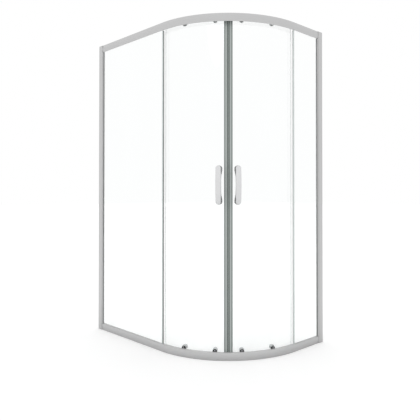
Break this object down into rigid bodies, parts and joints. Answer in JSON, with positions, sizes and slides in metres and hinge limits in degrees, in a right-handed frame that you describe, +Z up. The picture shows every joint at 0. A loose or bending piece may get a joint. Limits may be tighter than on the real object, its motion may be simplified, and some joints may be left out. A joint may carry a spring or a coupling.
{
  "type": "corner shower enclosure",
  "caption": "Quarter-round corner shower enclosure with flat fixed panes, two curved sliding doors on rollers, bow handles and an aluminium frame.",
  "frame": {"origin": "middle of the footprint of 1200 by 800 mm, on the plane of the shower tray", "axes": "+Z up, +X along the long side away from its wall, +Y along the short side towards its wall"},
  "size_m": [1.2, 0.8, 1.85],
  "materials": {
    "long_wall_channel": "satin",
    "short_wall_channel": "satin",
    "long_jamb": "satin",
    "short_jamb": "satin",
    "top_rail": "satin",
    "bottom_rail": "satin",
    "long_fixed_glass": "clear",
    "short_fixed_glass": "clear",
    "jamb_gaskets": "matt",
    "rail_gaskets": "matt",
    "edge_seals": "satin",
    "groove_covers": "satin",
    "corner_blocks": "satin",
    "jamb_screws": "brushed",
    "jamb_screw_caps": "satin",
    "door_stops": "matt",
    "setting_blocks": "matt",
    "channel_caps": "satin",
    "long_door_glass": "clear",
    "short_door_glass": "clear",
    "long_closing_profile": "satin",
    "short_closing_profile": "satin",
    "long_magnet": "matt",
    "short_magnet": "matt",
    "long_rear_seal": "satin",
    "short_rear_seal": "satin",
    "long_handle": "satin",
    "short_handle": "satin",
    "long_handle_washers": "satin",
    "short_handle_washers": "satin",
    "long_handle_caps": "satin",
    "short_handle_caps": "satin",
    "long_door_screws": "brushed",
    "short_door_screws": "brushed",
    "long_top_knobs": "satin",
    "short_top_knobs": "satin",
    "long_roller_bushes": "satin",
    "short_roller_bushes": "satin",
    "long_roller_axles": "brushed",
    "short_roller_axles": "brushed",
    "long_roller_clamps": "satin",
    "short_roller_clamps": "satin",
    "long_release_housings": "satin",
    "short_release_housings": "satin",
    "long_front_top_wheel": "satin",
    "long_rear_top_wheel": "satin",
    "short_front_top_wheel": "satin",
    "short_rear_top_wheel": "satin",
    "long_front_low_wheel": "satin",
    "long_rear_low_wheel": "satin",
    "short_front_low_wheel": "satin",
    "short_rear_low_wheel": "satin",
    "long_front_release": "satin",
    "long_rear_release": "satin",
    "short_front_release": "satin",
    "short_rear_release": "satin",
    "long_front_spring": "brushed",
    "long_rear_spring": "brushed",
    "short_front_spring": "brushed",
    "short_rear_spring": "brushed"
  },
  "bodies": {
    "frame": {"long_wall_channel": "long_wall_channel", "short_wall_channel": "short_wall_channel", "long_jamb": "long_jamb", "short_jamb": "short_jamb", "top_rail": "top_rail", "bottom_rail": "bottom_rail", "long_fixed_glass": "long_fixed_glass", "short_fixed_glass": "short_fixed_glass", "jamb_gaskets": "jamb_gaskets", "rail_gaskets": "rail_gaskets", "edge_seals": "edge_seals", "groove_covers": "groove_covers", "corner_blocks": "corner_blocks", "jamb_screws": "jamb_screws", "jamb_screw_caps": "jamb_screw_caps", "door_stops": "door_stops", "setting_blocks": "setting_blocks", "channel_caps": "channel_caps"},
    "long_door": {"long_door_glass": "long_door_glass", "long_closing_profile": "long_closing_profile", "long_magnet": "long_magnet", "long_rear_seal": "long_rear_seal", "long_handle": "long_handle", "long_handle_washers": "long_handle_washers", "long_handle_caps": "long_handle_caps", "long_door_screws": "long_door_screws", "long_top_knobs": "long_top_knobs", "long_roller_bushes": "long_roller_bushes", "long_roller_axles": "long_roller_axles", "long_roller_clamps": "long_roller_clamps", "long_release_housings": "long_release_housings", "long_front_spring": "long_front_spring", "long_rear_spring": "long_rear_spring"},
    "short_door": {"short_door_glass": "short_door_glass", "short_closing_profile": "short_closing_profile", "short_magnet": "short_magnet", "short_rear_seal": "short_rear_seal", "short_handle": "short_handle", "short_handle_washers": "short_handle_washers", "short_handle_caps": "short_handle_caps", "short_door_screws": "short_door_screws", "short_top_knobs": "short_top_knobs", "short_roller_bushes": "short_roller_bushes", "short_roller_axles": "short_roller_axles", "short_roller_clamps": "short_roller_clamps", "short_release_housings": "short_release_housings", "short_front_spring": "short_front_spring", "short_rear_spring": "short_rear_spring"},
    "long_front_top_wheel": {"long_front_top_wheel": "long_front_top_wheel"},
    "long_rear_top_wheel": {"long_rear_top_wheel": "long_rear_top_wheel"},
    "short_front_top_wheel": {"short_front_top_wheel": "short_front_top_wheel"},
    "short_rear_top_wheel": {"short_rear_top_wheel": "short_rear_top_wheel"},
    "long_front_low_wheel": {"long_front_low_wheel": "long_front_low_wheel"},
    "long_rear_low_wheel": {"long_rear_low_wheel": "long_rear_low_wheel"},
    "short_front_low_wheel": {"short_front_low_wheel": "short_front_low_wheel"},
    "short_rear_low_wheel": {"short_rear_low_wheel": "short_rear_low_wheel"},
    "long_front_release": {"long_front_release": "long_front_release"},
    "long_rear_release": {"long_rear_release": "long_rear_release"},
    "short_front_release": {"short_front_release": "short_front_release"},
    "short_rear_release": {"short_rear_release": "short_rear_release"}
  },
  "joints": [
    {"name": "long_door_slide", "type": "hinge", "parent": "frame", "child": "long_door", "pos_m": [0.0617, 0.1361, 0.925], "axis": [0, 0, -1], "range_deg": [0, 23.5]},
    {"name": "long_front_top_wheel_spin", "type": "hinge", "parent": "long_door", "child": "long_front_top_wheel", "pos_m": [0.37467, -0.27875, 1.83], "axis": [0.5976, -0.8018, 0], "continuous": true},
    {"name": "long_front_release_press", "type": "slide", "parent": "long_door", "child": "long_front_release", "axis": [0, 0, -1], "range_m": [0, 0.005], "stiffness_N_per_m": 800, "springref_m": -0.004, "deforming": ["long_front_spring"]},
    {"name": "long_front_low_wheel_spin", "type": "hinge", "parent": "long_front_release", "child": "long_front_low_wheel", "pos_m": [0.37467, -0.27875, 0.02], "axis": [0.5976, -0.8018, 0], "continuous": true},
    {"name": "long_rear_top_wheel_spin", "type": "hinge", "parent": "long_door", "child": "long_rear_top_wheel", "pos_m": [0.21052, -0.36005, 1.83], "axis": [0.2756, -0.9613, 0], "continuous": true},
    {"name": "long_rear_release_press", "type": "slide", "parent": "long_door", "child": "long_rear_release", "axis": [0, 0, -1], "range_m": [0, 0.005], "stiffness_N_per_m": 800, "springref_m": -0.004, "deforming": ["long_rear_spring"]},
    {"name": "long_rear_low_wheel_spin", "type": "hinge", "parent": "long_rear_release", "child": "long_rear_low_wheel", "pos_m": [0.21052, -0.36005, 0.02], "axis": [0.2756, -0.9613, 0], "continuous": true},
    {"name": "short_door_slide", "type": "hinge", "parent": "frame", "child": "short_door", "pos_m": [0.0639, 0.1383, 0.925], "axis": [0, 0, 1], "range_deg": [0, 23.5]},
    {"name": "short_front_top_wheel_spin", "type": "hinge", "parent": "short_door", "child": "short_front_top_wheel", "pos_m": [0.47874, -0.17467, 1.83], "axis": [0.8018, -0.5976, 0], "continuous": true},
    {"name": "short_front_release_press", "type": "slide", "parent": "short_door", "child": "short_front_release", "axis": [0, 0, -1], "range_m": [0, 0.005], "stiffness_N_per_m": 800, "springref_m": -0.004, "deforming": ["short_front_spring"]},
    {"name": "short_front_low_wheel_spin", "type": "hinge", "parent": "short_front_release", "child": "short_front_low_wheel", "pos_m": [0.47874, -0.17467, 0.02], "axis": [0.8018, -0.5976, 0], "continuous": true},
    {"name": "short_rear_top_wheel_spin", "type": "hinge", "parent": "short_door", "child": "short_rear_top_wheel", "pos_m": [0.56005, -0.01052, 1.83], "axis": [0.9613, -0.2756, 0], "continuous": true},
    {"name": "short_rear_release_press", "type": "slide", "parent": "short_door", "child": "short_rear_release", "axis": [0, 0, -1], "range_m": [0, 0.005], "stiffness_N_per_m": 800, "springref_m": -0.004, "deforming": ["short_rear_spring"]},
    {"name": "short_rear_low_wheel_spin", "type": "hinge", "parent": "short_rear_release", "child": "short_rear_low_wheel", "pos_m": [0.56005, -0.01052, 0.02], "axis": [0.9613, -0.2756, 0], "continuous": true}
  ],
  "couplings": [
    {"joint": "long_front_top_wheel_spin", "follows": "long_door_slide", "ratio": 53.026},
    {"joint": "long_front_low_wheel_spin", "follows": "long_door_slide", "ratio": -53.026},
    {"joint": "long_rear_top_wheel_spin", "follows": "long_door_slide", "ratio": 52.856},
    {"joint": "long_rear_low_wheel_spin", "follows": "long_door_slide", "ratio": -52.856},
    {"joint": "short_front_top_wheel_spin", "follows": "short_door_slide", "ratio": -53.026},
    {"joint": "short_front_low_wheel_spin", "follows": "short_door_slide", "ratio": 53.026},
    {"joint": "short_rear_top_wheel_spin", "follows": "short_door_slide", "ratio": -52.856},
    {"joint": "short_rear_low_wheel_spin", "follows": "short_door_slide", "ratio": 52.856}
  ]
}
